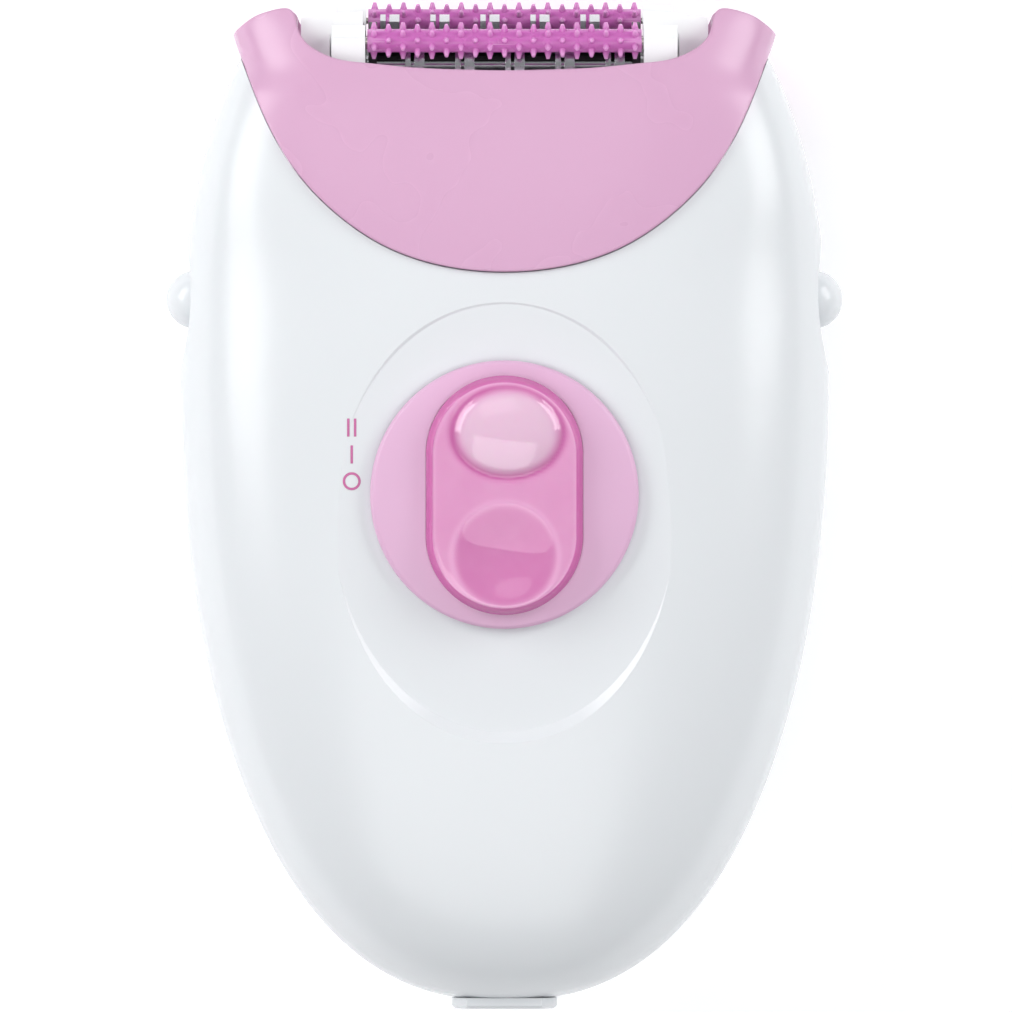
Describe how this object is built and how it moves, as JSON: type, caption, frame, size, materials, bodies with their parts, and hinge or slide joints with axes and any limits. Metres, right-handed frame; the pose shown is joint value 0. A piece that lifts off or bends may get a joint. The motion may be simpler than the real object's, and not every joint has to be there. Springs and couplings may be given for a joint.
{
  "type": "epilator",
  "caption": "Egg-shaped handheld epilator: pink crescent head with spiky massage rollers and a geared tweezer drum, thumb slide switch, side release buttons and a tail power socket.",
  "frame": {"origin": "midpoint of the overall width and length, on the resting plane under the back", "axes": "+X to the right seen from the front, +Y along the body towards the tweezer head, +Z out of the front through the switch"},
  "size_m": [0.0812, 0.1208, 0.0421],
  "materials": {
    "shell_white": "gloss",
    "collar_pink": "soft gloss",
    "frame_white": "gloss",
    "roller_pink": "slightly translucent",
    "disc_pink": "satin",
    "button_clear_pink": "clear tinted gloss",
    "bright_steel": "bright",
    "steel_screw": "plated",
    "gear_plastic": "natural acetal",
    "black_plastic": "matte",
    "inner_white": "matte",
    "bronze": "sintered",
    "motor_steel": "plated",
    "magnet": "ferrite",
    "board_green": "solder mask",
    "pin_steel": "nickel",
    "lead_red": "insulated"
  },
  "bodies": {
    "body": {"front_shell": "shell_white", "rear_shell": "shell_white", "power_socket": "frame_white", "gear_axles": "bright_steel", "shell_screws": "steel_screw", "deck_screws": "steel_screw", "chassis_screws": "steel_screw", "motor_screws": "steel_screw", "gear_cover_screws": "steel_screw", "board_screws": "steel_screw", "left_button_spring": "steel_screw", "right_button_spring": "steel_screw", "switch_housing": "black_plastic", "board_components": "black_plastic", "top_deck": "inner_white", "chassis": "inner_white", "gear_cover": "inner_white", "motor_end_cap": "inner_white", "motor_terminals": "bronze", "motor_can": "motor_steel", "motor_magnets": "magnet", "circuit_board": "board_green", "socket_pins": "pin_steel", "socket_leads": "lead_red", "motor_leads": "lead_red"},
    "switch": {"switch_disc": "disc_pink", "switch_button": "button_clear_pink", "switch_slider": "black_plastic", "switch_contact": "bronze"},
    "right_release": {"right_release_button": "frame_white", "right_catch_plate": "black_plastic"},
    "left_release": {"left_release_button": "frame_white", "left_catch_plate": "black_plastic"},
    "head": {"collar_front": "collar_pink", "collar_rear": "collar_pink", "head_frame": "frame_white", "front_roller_posts": "frame_white", "rear_roller_posts": "frame_white", "front_roller_axle": "bright_steel", "rear_roller_axle": "bright_steel", "drum_bushes": "bronze", "closing_cam": "black_plastic"},
    "front_massage_roller": {"front_roller": "roller_pink"},
    "rear_massage_roller": {"rear_roller": "roller_pink"},
    "drum": {"drum_shaft": "bright_steel", "drum_core": "black_plastic", "drum_ends": "black_plastic", "fixed_tweezers": "bright_steel", "drum_gear": "gear_plastic"},
    "slide_1": {"tweezer_slide_1": "bright_steel"},
    "slide_2": {"tweezer_slide_2": "bright_steel"},
    "slide_3": {"tweezer_slide_3": "bright_steel"},
    "slide_4": {"tweezer_slide_4": "bright_steel"},
    "output_wheel": {"output_gear": "gear_plastic"},
    "idler_wheel": {"idler_gear": "gear_plastic"},
    "rotor": {"motor_shaft": "bright_steel", "rotor_core": "motor_steel", "commutator": "bronze", "motor_pinion": "gear_plastic"}
  },
  "joints": [
    {"name": "switch_slide", "type": "slide", "parent": "body", "child": "switch", "axis": [0, 0.9997, 0.024], "range_m": [0, 0.0062]},
    {"name": "right_release_press", "type": "slide", "parent": "body", "child": "right_release", "axis": [-1, 0, 0], "range_m": [0, 0.0015], "stiffness_N_per_m": 800, "springref_m": -0.0012, "deforming": ["right_button_spring"]},
    {"name": "left_release_press", "type": "slide", "parent": "body", "child": "left_release", "axis": [1, 0, 0], "range_m": [0, 0.0015], "stiffness_N_per_m": 800, "springref_m": -0.0012, "deforming": ["left_button_spring"]},
    {"name": "head_lift", "type": "slide", "parent": "body", "child": "head", "axis": [0, 1, 0], "range_m": [0, 0.03]},
    {"name": "front_roller_spin", "type": "hinge", "parent": "head", "child": "front_massage_roller", "pos_m": [0, 0.05548, 0.02703], "axis": [1, 0, 0], "continuous": true},
    {"name": "rear_roller_spin", "type": "hinge", "parent": "head", "child": "rear_massage_roller", "pos_m": [0, 0.05823, 0.01147], "axis": [1, 0, 0], "continuous": true},
    {"name": "drum_spin", "type": "hinge", "parent": "head", "child": "drum", "pos_m": [0, 0.05262, 0.0185], "axis": [1, 0, 0], "continuous": true},
    {"name": "tweezer_close_1", "type": "slide", "parent": "drum", "child": "slide_1", "axis": [1, 0, 0], "range_m": [0, 0.00042], "stiffness_N_per_m": 100, "springref_m": -0.0002},
    {"name": "tweezer_close_2", "type": "slide", "parent": "drum", "child": "slide_2", "axis": [1, 0, 0], "range_m": [0, 0.00042], "stiffness_N_per_m": 100, "springref_m": -0.0002},
    {"name": "tweezer_close_3", "type": "slide", "parent": "drum", "child": "slide_3", "axis": [1, 0, 0], "range_m": [0, 0.00042], "stiffness_N_per_m": 100, "springref_m": -0.0002},
    {"name": "tweezer_close_4", "type": "slide", "parent": "drum", "child": "slide_4", "axis": [1, 0, 0], "range_m": [0, 0.00042], "stiffness_N_per_m": 100, "springref_m": -0.0002},
    {"name": "output_spin", "type": "hinge", "parent": "body", "child": "output_wheel", "pos_m": [0, 0.04212, 0.0185], "axis": [1, 0, 0], "continuous": true},
    {"name": "idler_spin", "type": "hinge", "parent": "body", "child": "idler_wheel", "pos_m": [0, 0.03375, 0.02], "axis": [1, 0, 0], "continuous": true},
    {"name": "rotor_spin", "type": "hinge", "parent": "body", "child": "rotor", "pos_m": [0, 0.02293, 0.018], "axis": [1, 0, 0], "continuous": true}
  ],
  "couplings": [
    {"joint": "output_spin", "follows": "drum_spin", "ratio": -1.1},
    {"joint": "idler_spin", "follows": "drum_spin", "ratio": 1.5714},
    {"joint": "rotor_spin", "follows": "drum_spin", "ratio": -4.1905}
  ]
}
